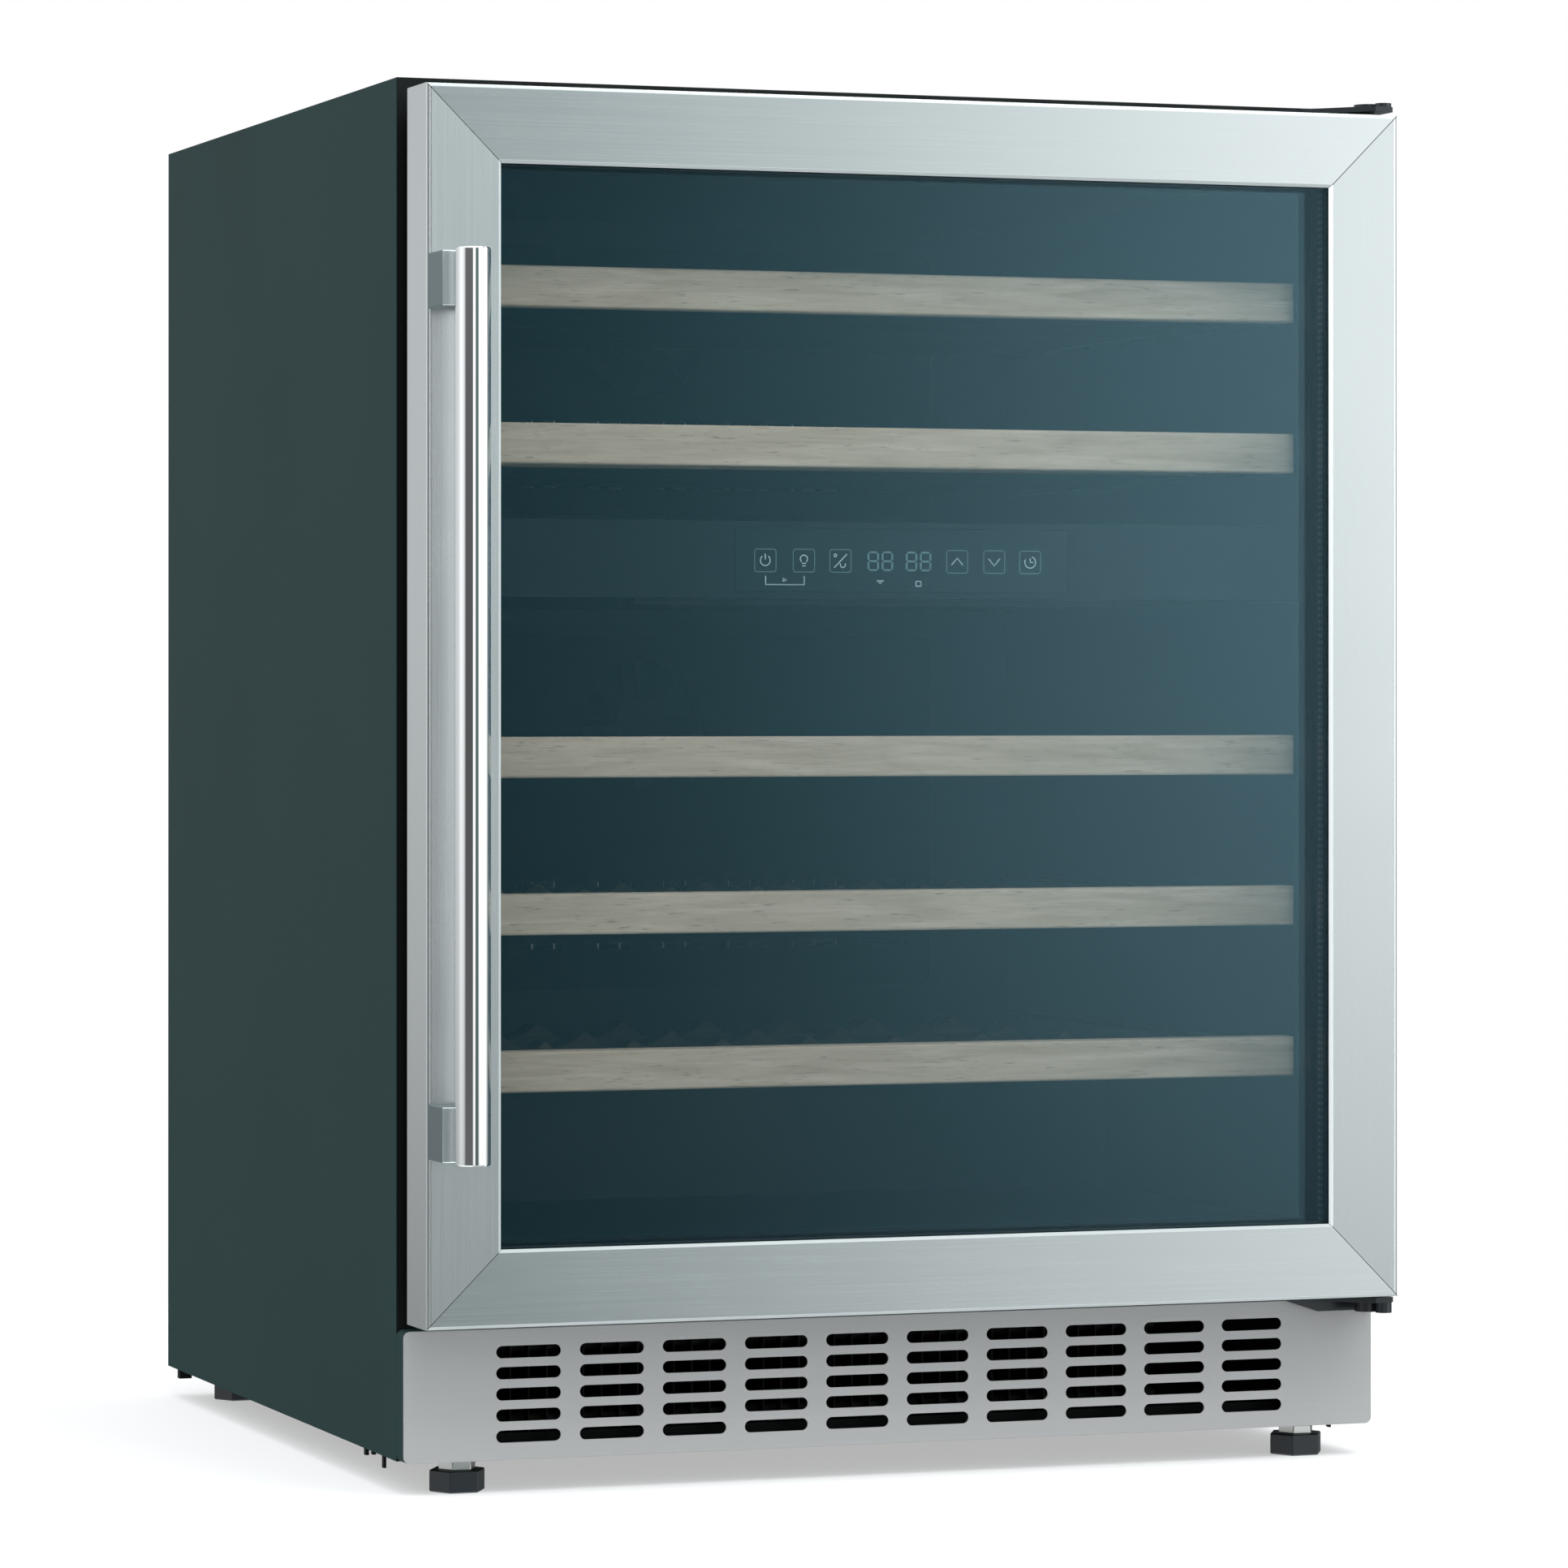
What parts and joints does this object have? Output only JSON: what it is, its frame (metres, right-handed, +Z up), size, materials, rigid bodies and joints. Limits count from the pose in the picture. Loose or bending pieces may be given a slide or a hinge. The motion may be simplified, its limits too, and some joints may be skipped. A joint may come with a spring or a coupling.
{
  "type": "wine cooler",
  "caption": "Built-in undercounter wine cooler: steel cabinet, hinged glass door with bar handle, beech bottle shelves, two cooled zones, slotted plinth, levelling feet.",
  "frame": {"origin": "centre of the overall bounding box in plan, at floor level under the feet", "axes": "+Z up, the door faces -Y, +X to the right seen from the front (the hinge side)"},
  "size_m": [0.6, 0.637, 0.804],
  "materials": {
    "dark_paint": "satin",
    "zinc_steel": "satin",
    "kick_steel": "satin",
    "liner_plastic": "satin",
    "foam": "matte",
    "divider_skin": "satin",
    "black_plastic": "satin",
    "control_glass": "gloss",
    "circuit_board": "satin",
    "lamp_lens": "satin",
    "runner_plastic": "satin",
    "coil_aluminium": "satin",
    "condenser_paint": "satin",
    "compressor_paint": "satin",
    "mount_rubber": "matte",
    "hinge_black": "satin",
    "screw_zinc": "satin",
    "door_steel": "satin",
    "door_plastic": "satin",
    "outer_glass": "gloss",
    "inner_glass": "gloss",
    "spacer_black": "satin",
    "gasket_rubber": "matte",
    "handle_steel": "polished",
    "post_steel": "satin",
    "bush_nylon": "satin",
    "beech_rail": "satin",
    "beech_deck": "satin",
    "fan_plastic": "satin",
    "foot_black": "satin"
  },
  "bodies": {
    "cabinet": {"base_pan": "dark_paint", "side_panel_left": "dark_paint", "side_panel_right": "dark_paint", "top_panel": "dark_paint", "back_panel": "zinc_steel", "machine_cover": "zinc_steel", "kick_grille": "kick_steel", "inner_liner": "liner_plastic", "foam_insulation": "foam", "zone_divider": "divider_skin", "front_frame": "black_plastic", "control_fascia": "black_plastic", "upper_duct_cover": "black_plastic", "lower_duct_cover": "black_plastic", "evaporator_fan_frames": "black_plastic", "condenser_fan_frame": "black_plastic", "drip_tray": "black_plastic", "mains_inlet": "black_plastic", "control_lens": "control_glass", "control_board": "circuit_board", "led_lights": "lamp_lens", "shelf_runners": "runner_plastic", "evaporators": "coil_aluminium", "condenser": "condenser_paint", "compressor": "compressor_paint", "compressor_mounts": "mount_rubber", "hinge_bracket_bottom": "hinge_black", "hinge_bracket_top": "hinge_black", "hinge_screws": "screw_zinc"},
    "door": {"door_profile_left": "door_steel", "door_profile_right": "door_steel", "door_profile_top": "door_steel", "door_profile_bottom": "door_steel", "door_core": "door_plastic", "glass_outer": "outer_glass", "glass_inner": "inner_glass", "glass_spacer": "spacer_black", "door_gasket": "gasket_rubber", "handle_bar": "handle_steel", "handle_posts": "post_steel", "handle_screws": "screw_zinc", "hinge_bushes": "bush_nylon"},
    "shelf_1": {"shelf_1_rail": "beech_rail", "shelf_1_deck": "beech_deck"},
    "shelf_2": {"shelf_2_rail": "beech_rail", "shelf_2_deck": "beech_deck"},
    "shelf_3": {"shelf_3_rail": "beech_rail", "shelf_3_deck": "beech_deck"},
    "shelf_4": {"shelf_4_rail": "beech_rail", "shelf_4_deck": "beech_deck"},
    "shelf_5": {"shelf_5_rail": "beech_rail", "shelf_5_deck": "beech_deck"},
    "upper_fan": {"upper_fan_impeller": "fan_plastic"},
    "lower_fan": {"lower_fan_impeller": "fan_plastic"},
    "condenser_fan": {"condenser_fan_impeller": "fan_plastic"},
    "foot_front_left": {"foot_front_left": "foot_black"},
    "foot_front_right": {"foot_front_right": "foot_black"},
    "foot_rear_left": {"foot_rear_left": "foot_black"},
    "foot_rear_right": {"foot_rear_right": "foot_black"}
  },
  "joints": [
    {"name": "door_hinge", "type": "hinge", "parent": "cabinet", "child": "door", "pos_m": [0.289, -0.2495, 0.4472], "axis": [0, 0, 1], "range_deg": [0, 110]},
    {"name": "shelf_1_slide", "type": "slide", "parent": "cabinet", "child": "shelf_1", "axis": [0, -1, 0], "range_m": [0, 0.28]},
    {"name": "shelf_2_slide", "type": "slide", "parent": "cabinet", "child": "shelf_2", "axis": [0, -1, 0], "range_m": [0, 0.28]},
    {"name": "shelf_3_slide", "type": "slide", "parent": "cabinet", "child": "shelf_3", "axis": [0, -1, 0], "range_m": [0, 0.28]},
    {"name": "shelf_4_slide", "type": "slide", "parent": "cabinet", "child": "shelf_4", "axis": [0, -1, 0], "range_m": [0, 0.28]},
    {"name": "shelf_5_slide", "type": "slide", "parent": "cabinet", "child": "shelf_5", "axis": [0, -1, 0], "range_m": [0, 0.28]},
    {"name": "upper_fan_spin", "type": "hinge", "parent": "cabinet", "child": "upper_fan", "pos_m": [0, 0.258, 0.69], "axis": [0, 1, 0], "continuous": true},
    {"name": "lower_fan_spin", "type": "hinge", "parent": "cabinet", "child": "lower_fan", "pos_m": [0, 0.258, 0.435], "axis": [0, 1, 0], "continuous": true},
    {"name": "condenser_fan_spin", "type": "hinge", "parent": "cabinet", "child": "condenser_fan", "pos_m": [0.035, 0.205, 0.088], "axis": [1, 0, 0], "continuous": true},
    {"name": "foot_front_left_screw", "type": "slide", "parent": "cabinet", "child": "foot_front_left", "axis": [0, 0, -1], "range_m": [0, 0.02]},
    {"name": "foot_front_right_screw", "type": "slide", "parent": "cabinet", "child": "foot_front_right", "axis": [0, 0, -1], "range_m": [0, 0.02]},
    {"name": "foot_rear_left_screw", "type": "slide", "parent": "cabinet", "child": "foot_rear_left", "axis": [0, 0, -1], "range_m": [0, 0.02]},
    {"name": "foot_rear_right_screw", "type": "slide", "parent": "cabinet", "child": "foot_rear_right", "axis": [0, 0, -1], "range_m": [0, 0.02]}
  ],
  "couplings": [
    {"joint": "shelf_1_slide", "follows": "door_hinge", "m_per_rad": 0.02},
    {"joint": "shelf_2_slide", "follows": "door_hinge", "m_per_rad": 0.02},
    {"joint": "shelf_3_slide", "follows": "door_hinge", "m_per_rad": 0.02},
    {"joint": "shelf_4_slide", "follows": "door_hinge", "m_per_rad": 0.02},
    {"joint": "shelf_5_slide", "follows": "door_hinge", "m_per_rad": 0.02}
  ]
}
